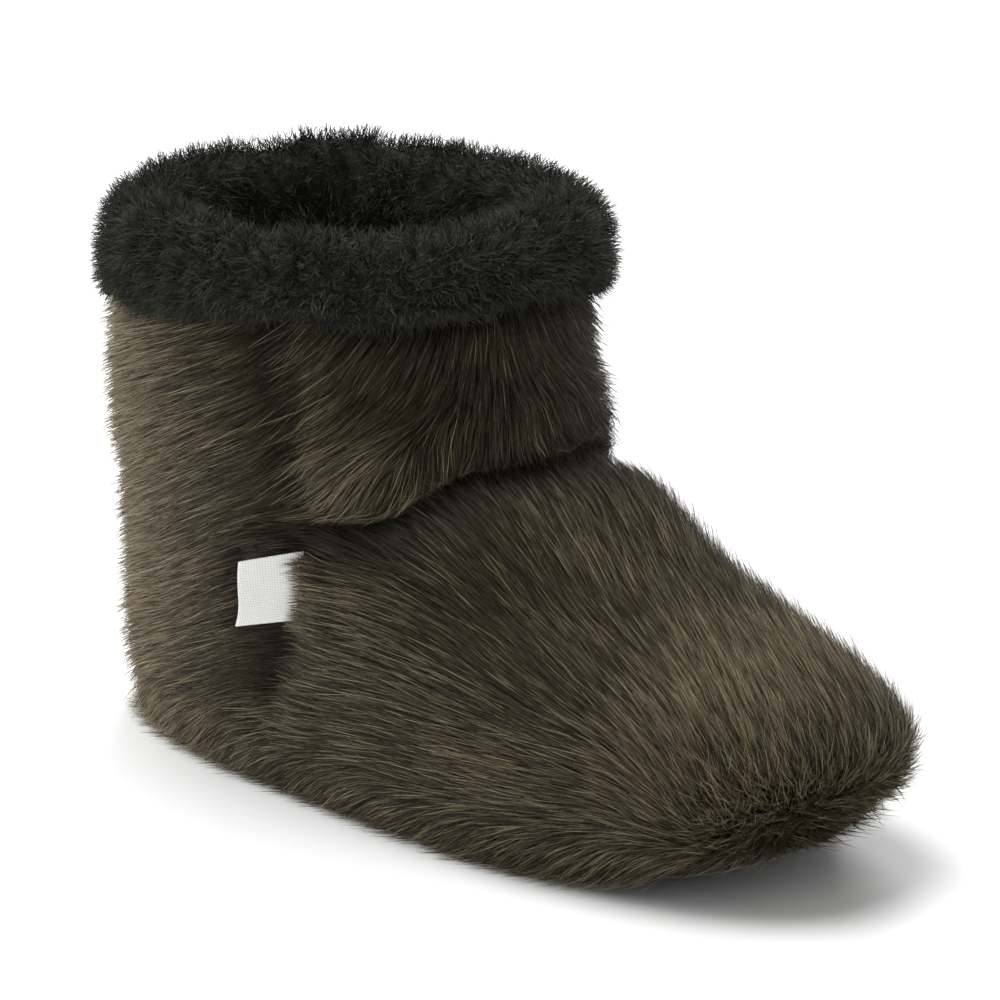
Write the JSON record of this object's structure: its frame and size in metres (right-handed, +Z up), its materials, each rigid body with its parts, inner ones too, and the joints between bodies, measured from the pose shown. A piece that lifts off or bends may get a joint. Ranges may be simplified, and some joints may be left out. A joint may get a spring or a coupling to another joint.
{
  "type": "ankle-high fur slipper",
  "caption": "Ankle-high fur slipper for the right foot: hollow fur upper with fused locks, rolled wool cuff, suede sole, sheepskin insole and a bare woven tab at the side seam.",
  "frame": {"origin": "on the ground under the middle of the slipper's bounding box", "axes": "+X from heel to toe, -Y the outer side of the foot, +Z up"},
  "size_m": [0.2762, 0.1397, 0.1651],
  "materials": {
    "suede": "napped dark brown suede",
    "pile": "dense sheepskin pile",
    "fur": "glossy guard hair over dark underfur",
    "wool": "matte curly sheepskin wool",
    "woven": "bare satin-woven tape"
  },
  "bodies": {
    "root": {"outsole": "suede", "insole": "pile", "upper": "fur", "cuff": "wool", "label": "woven"}
  },
  "joints": []
}
